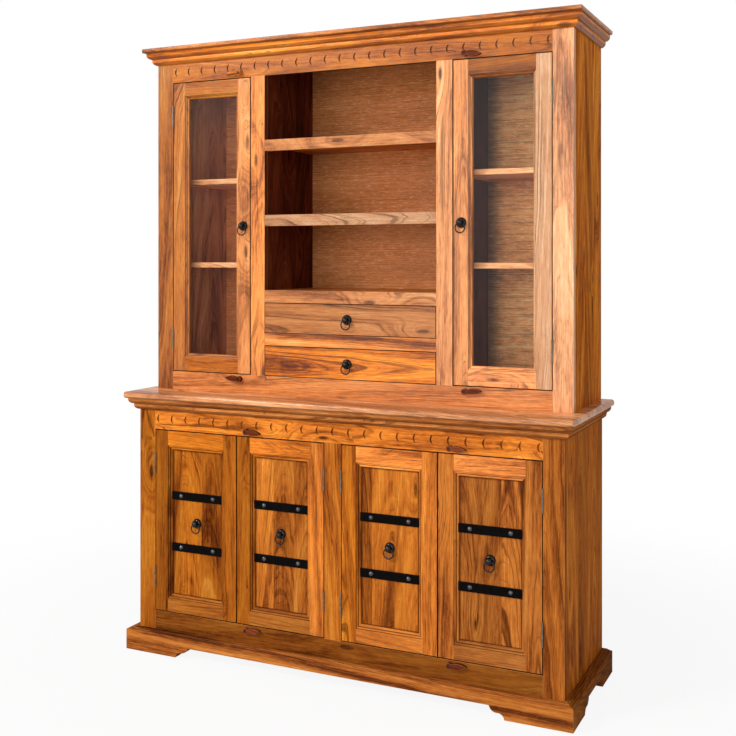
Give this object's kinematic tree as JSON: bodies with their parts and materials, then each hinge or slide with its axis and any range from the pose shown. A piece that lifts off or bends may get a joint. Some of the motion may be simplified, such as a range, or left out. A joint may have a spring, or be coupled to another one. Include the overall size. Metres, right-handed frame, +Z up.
{
  "type": "dresser with hutch",
  "caption": "Wooden dresser: a base with iron-strapped panel doors carries a hutch with glazed doors, open shelves and drawers; doors, drawers, ring pulls and turn latches move.",
  "frame": {"origin": "on the floor, under the middle of the counter's width and depth", "axes": "+X to the right as seen from the front, +Y to the back, +Z up"},
  "size_m": [1.6, 0.526, 2.116],
  "materials": {
    "acacia": "satin lacquer",
    "plywood": "satin lacquer",
    "dark_wood": "satin",
    "iron": "black, forged",
    "steel": "satin",
    "glass": "clear"
  },
  "bodies": {
    "case": {"plinth": "acacia", "base_sides": "acacia", "base_floor": "acacia", "base_partition": "acacia", "base_shelves": "acacia", "base_stiles": "acacia", "base_rails": "acacia", "countertop": "acacia", "counter_moulding": "acacia", "hutch_sides": "acacia", "hutch_partitions": "acacia", "hutch_floor": "acacia", "hutch_top": "acacia", "cornice": "acacia", "hutch_stiles": "acacia", "hutch_rails": "acacia", "centre_shelves": "acacia", "cabinet_shelves": "acacia", "drawer_rails": "acacia", "base_back": "plywood", "hutch_back": "plywood", "case_hinge_leaves": "steel", "hinge_pins": "steel", "latch_screws": "steel"},
    "lower_door_1": {"lower_door_1_woodwork": "acacia", "lower_door_1_ironwork": "iron"},
    "lower_door_1_ring": {"lower_door_1_ring": "iron"},
    "lower_door_2": {"lower_door_2_woodwork": "acacia", "lower_door_2_ironwork": "iron"},
    "lower_door_2_ring": {"lower_door_2_ring": "iron"},
    "lower_door_3": {"lower_door_3_woodwork": "acacia", "lower_door_3_ironwork": "iron"},
    "lower_door_3_ring": {"lower_door_3_ring": "iron"},
    "lower_door_4": {"lower_door_4_woodwork": "acacia", "lower_door_4_ironwork": "iron"},
    "lower_door_4_ring": {"lower_door_4_ring": "iron"},
    "upper_door_left": {"upper_door_left_frame": "acacia", "upper_door_left_glass": "glass", "upper_door_left_ironwork": "iron"},
    "upper_door_left_ring": {"upper_door_left_ring": "iron"},
    "upper_door_right": {"upper_door_right_frame": "acacia", "upper_door_right_glass": "glass", "upper_door_right_ironwork": "iron"},
    "upper_door_right_ring": {"upper_door_right_ring": "iron"},
    "latch_lower_door_2_top": {"latch_lower_door_2_top": "dark_wood"},
    "latch_lower_door_2_bottom": {"latch_lower_door_2_bottom": "dark_wood"},
    "latch_lower_door_4_top": {"latch_lower_door_4_top": "dark_wood"},
    "latch_lower_door_4_bottom": {"latch_lower_door_4_bottom": "dark_wood"},
    "latch_upper_door_left_top": {"latch_upper_door_left_top": "dark_wood"},
    "latch_upper_door_left_bottom": {"latch_upper_door_left_bottom": "dark_wood"},
    "latch_upper_door_right_top": {"latch_upper_door_right_top": "dark_wood"},
    "latch_upper_door_right_bottom": {"latch_upper_door_right_bottom": "dark_wood"},
    "lower_drawer": {"lower_drawer_front": "acacia", "lower_drawer_box": "plywood", "lower_drawer_pull": "iron"},
    "lower_drawer_ring": {"lower_drawer_ring": "iron"},
    "upper_drawer": {"upper_drawer_front": "acacia", "upper_drawer_box": "plywood", "upper_drawer_pull": "iron"},
    "upper_drawer_ring": {"upper_drawer_ring": "iron"}
  },
  "joints": [
    {"name": "lower_door_1_hinge", "type": "hinge", "parent": "case", "child": "lower_door_1", "pos_m": [-0.6935, -0.218, 0.4545], "axis": [0, 0, -1], "range_deg": [0, 170]},
    {"name": "lower_door_1_ring_swing", "type": "hinge", "parent": "lower_door_1", "child": "lower_door_1_ring", "pos_m": [-0.52838, -0.2155, 0.4545], "axis": [-1, 0, 0], "range_deg": [0, 170]},
    {"name": "lower_door_2_hinge", "type": "hinge", "parent": "case", "child": "lower_door_2", "pos_m": [-0.0315, -0.218, 0.4545], "axis": [0, 0, 1], "range_deg": [0, 90]},
    {"name": "lower_door_2_ring_swing", "type": "hinge", "parent": "lower_door_2", "child": "lower_door_2_ring", "pos_m": [-0.19662, -0.2155, 0.4545], "axis": [-1, 0, 0], "range_deg": [0, 170]},
    {"name": "lower_door_3_hinge", "type": "hinge", "parent": "case", "child": "lower_door_3", "pos_m": [0.0315, -0.218, 0.4545], "axis": [0, 0, -1], "range_deg": [0, 90]},
    {"name": "lower_door_3_ring_swing", "type": "hinge", "parent": "lower_door_3", "child": "lower_door_3_ring", "pos_m": [0.19662, -0.2155, 0.4545], "axis": [-1, 0, 0], "range_deg": [0, 170]},
    {"name": "lower_door_4_hinge", "type": "hinge", "parent": "case", "child": "lower_door_4", "pos_m": [0.6935, -0.218, 0.4545], "axis": [0, 0, 1], "range_deg": [0, 170]},
    {"name": "lower_door_4_ring_swing", "type": "hinge", "parent": "lower_door_4", "child": "lower_door_4_ring", "pos_m": [0.52838, -0.2155, 0.4545], "axis": [-1, 0, 0], "range_deg": [0, 170]},
    {"name": "upper_door_left_hinge", "type": "hinge", "parent": "case", "child": "upper_door_left", "pos_m": [-0.6935, -0.113, 1.4785], "axis": [0, 0, -1], "range_deg": [0, 170]},
    {"name": "upper_door_left_ring_swing", "type": "hinge", "parent": "upper_door_left", "child": "upper_door_left_ring", "pos_m": [-0.401, -0.123, 1.4785], "axis": [-1, 0, 0], "range_deg": [0, 170]},
    {"name": "upper_door_right_hinge", "type": "hinge", "parent": "case", "child": "upper_door_right", "pos_m": [0.6935, -0.113, 1.4785], "axis": [0, 0, 1], "range_deg": [0, 170]},
    {"name": "upper_door_right_ring_swing", "type": "hinge", "parent": "upper_door_right", "child": "upper_door_right_ring", "pos_m": [0.401, -0.123, 1.4785], "axis": [-1, 0, 0], "range_deg": [0, 170]},
    {"name": "latch_lower_door_2_top_turn", "type": "hinge", "parent": "case", "child": "latch_lower_door_2_top", "pos_m": [-0.32125, -0.2154, 0.786], "axis": [0, -1, 0], "range_deg": [-90, 0]},
    {"name": "latch_lower_door_2_bottom_turn", "type": "hinge", "parent": "case", "child": "latch_lower_door_2_bottom", "pos_m": [-0.32125, -0.2154, 0.123], "axis": [0, 1, 0], "range_deg": [-90, 0]},
    {"name": "latch_lower_door_4_top_turn", "type": "hinge", "parent": "case", "child": "latch_lower_door_4_top", "pos_m": [0.40375, -0.2154, 0.786], "axis": [0, -1, 0], "range_deg": [-90, 0]},
    {"name": "latch_lower_door_4_bottom_turn", "type": "hinge", "parent": "case", "child": "latch_lower_door_4_bottom", "pos_m": [0.40375, -0.2154, 0.123], "axis": [0, 1, 0], "range_deg": [-90, 0]},
    {"name": "latch_upper_door_left_top_turn", "type": "hinge", "parent": "case", "child": "latch_upper_door_left_top", "pos_m": [-0.414, -0.1104, 2.009], "axis": [0, 1, 0], "range_deg": [-90, 0]},
    {"name": "latch_upper_door_left_bottom_turn", "type": "hinge", "parent": "case", "child": "latch_upper_door_left_bottom", "pos_m": [-0.414, -0.1104, 0.948], "axis": [0, -1, 0], "range_deg": [-90, 0]},
    {"name": "latch_upper_door_right_top_turn", "type": "hinge", "parent": "case", "child": "latch_upper_door_right_top", "pos_m": [0.414, -0.1104, 2.009], "axis": [0, -1, 0], "range_deg": [-90, 0]},
    {"name": "latch_upper_door_right_bottom_turn", "type": "hinge", "parent": "case", "child": "latch_upper_door_right_bottom", "pos_m": [0.414, -0.1104, 0.948], "axis": [0, 1, 0], "range_deg": [-90, 0]},
    {"name": "lower_drawer_slide", "type": "slide", "parent": "case", "child": "lower_drawer", "axis": [0, -1, 0], "range_m": [0, 0.2]},
    {"name": "lower_drawer_ring_swing", "type": "hinge", "parent": "lower_drawer", "child": "lower_drawer_ring", "pos_m": [0, -0.123, 1.0155], "axis": [-1, 0, 0], "range_deg": [0, 170]},
    {"name": "upper_drawer_slide", "type": "slide", "parent": "case", "child": "upper_drawer", "axis": [0, -1, 0], "range_m": [0, 0.2]},
    {"name": "upper_drawer_ring_swing", "type": "hinge", "parent": "upper_drawer", "child": "upper_drawer_ring", "pos_m": [0, -0.123, 1.1625], "axis": [-1, 0, 0], "range_deg": [0, 170]}
  ]
}
